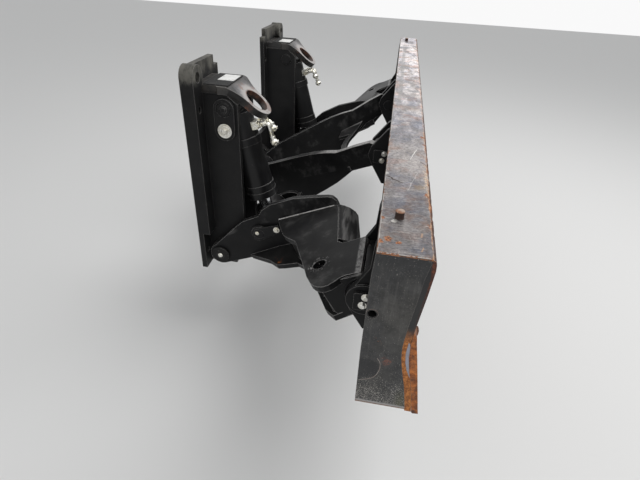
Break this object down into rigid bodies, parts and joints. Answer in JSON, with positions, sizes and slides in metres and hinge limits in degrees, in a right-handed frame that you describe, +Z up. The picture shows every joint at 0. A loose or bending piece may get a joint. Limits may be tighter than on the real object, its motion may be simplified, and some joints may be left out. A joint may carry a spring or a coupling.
{
  "type": "dozer blade unit",
  "caption": "Dozer blade unit of a wheeled excavator: a wide blade lifted by two cylinders on spreading lower arms and an upper link, on towers that bolt to the chassis end.",
  "frame": {"origin": "middle of the bolted face against the chassis end", "axes": "+X along the blade, +Y into the chassis, +Z up; the blade faces -Y and is drawn raised"},
  "size_m": [2.5, 0.8131, 0.771],
  "materials": {
    "anti_slip_pad": "coarse black non-slip sheet",
    "label": "blank white plate, dusty",
    "zinc_pin": "zinc plated, dulled",
    "chrome_rod": "hard chrome, clean",
    "zinc_fitting": "zinc plated hose fittings",
    "rusty_edge": "bare wear steel with orange rust",
    "rusty_bolt": "rusted steel",
    "blade_paint": "black paint worn grey, scratched, rust at the edges",
    "worn_lug": "black paint worn to bare steel around the eye",
    "cylinder_paint": "black paint, dusty",
    "arm_paint": "black paint, bright worn edges",
    "frame_paint": "black paint, dusty"
  },
  "bodies": {
    "mount_frame": {"mount_plate": "frame_paint", "tower_left": "frame_paint", "tower_right": "frame_paint", "flange_left": "frame_paint", "flange_right": "frame_paint", "lug_left": "worn_lug", "lug_right": "worn_lug", "pad_left": "anti_slip_pad", "pad_right": "anti_slip_pad", "label_left": "label", "label_right": "label", "head_pin_left": "zinc_pin", "head_pin_right": "zinc_pin", "low_pin_left": "zinc_pin", "low_pin_right": "zinc_pin", "link_pin": "zinc_pin"},
    "upper_link": {"upper_link": "arm_paint"},
    "lower_arm_left": {"lower_arm_left": "arm_paint", "rod_pin_left": "zinc_pin"},
    "lower_arm_right": {"lower_arm_right": "arm_paint", "rod_pin_right": "zinc_pin"},
    "barrel_left": {"barrel_left": "cylinder_paint", "gland_left": "cylinder_paint", "fittings_left": "zinc_fitting"},
    "barrel_right": {"barrel_right": "cylinder_paint", "gland_right": "cylinder_paint", "fittings_right": "zinc_fitting"},
    "rod_left": {"rod_left": "chrome_rod"},
    "rod_right": {"rod_right": "chrome_rod"},
    "blade": {"blade_shell": "blade_paint", "end_plate_left": "blade_paint", "end_plate_right": "blade_paint", "cutting_edge": "rusty_edge", "edge_bolts": "rusty_bolt", "top_studs": "rusty_bolt", "low_bracket_left": "blade_paint", "low_bracket_right": "blade_paint", "up_bracket_left": "blade_paint", "up_bracket_right": "blade_paint", "blade_pin_left": "zinc_pin", "blade_pin_right": "zinc_pin", "link_tip_pin_left": "zinc_pin", "link_tip_pin_right": "zinc_pin"}
  },
  "joints": [
    {"name": "lift", "type": "hinge", "parent": "mount_frame", "child": "lower_arm_left", "pos_m": [0, -0.08, -0.28], "axis": [1, 0, 0], "range_deg": [-3, 49]},
    {"name": "lift_right", "type": "hinge", "parent": "mount_frame", "child": "lower_arm_right", "pos_m": [0, -0.08, -0.28], "axis": [1, 0, 0], "range_deg": [-4, 50]},
    {"name": "link_swing", "type": "hinge", "parent": "mount_frame", "child": "upper_link", "pos_m": [0, -0.07, -0.175], "axis": [1, 0, 0], "range_deg": [-4, 50]},
    {"name": "blade_level", "type": "hinge", "parent": "lower_arm_left", "child": "blade", "pos_m": [0, -0.66, 0.02], "axis": [1, 0, 0], "range_deg": [-50, 4]},
    {"name": "barrel_swing_left", "type": "hinge", "parent": "mount_frame", "child": "barrel_left", "pos_m": [0, -0.12, 0.284], "axis": [1, 0, 0], "range_deg": [-1.17, 0.54]},
    {"name": "rod_slide_left", "type": "slide", "parent": "barrel_left", "child": "rod_left", "axis": [0, -0.2702, -0.9628], "range_m": [-0.0125, 0.1734]},
    {"name": "barrel_swing_right", "type": "hinge", "parent": "mount_frame", "child": "barrel_right", "pos_m": [0, -0.12, 0.284], "axis": [1, 0, 0], "range_deg": [-1.17, 0.54]},
    {"name": "rod_slide_right", "type": "slide", "parent": "barrel_right", "child": "rod_right", "axis": [0, -0.2702, -0.9628], "range_m": [-0.0125, 0.1734]}
  ],
  "couplings": [
    {"joint": "lift_right", "follows": "lift", "ratio": 1},
    {"joint": "link_swing", "follows": "lift", "ratio": 1},
    {"joint": "blade_level", "follows": "lift", "ratio": -1},
    {"joint": "barrel_swing_left", "follows": "lift", "ratio": -0.0136},
    {"joint": "rod_slide_left", "follows": "lift", "m_per_rad": 0.2004},
    {"joint": "barrel_swing_right", "follows": "lift", "ratio": -0.0136},
    {"joint": "rod_slide_right", "follows": "lift", "m_per_rad": 0.2004}
  ]
}
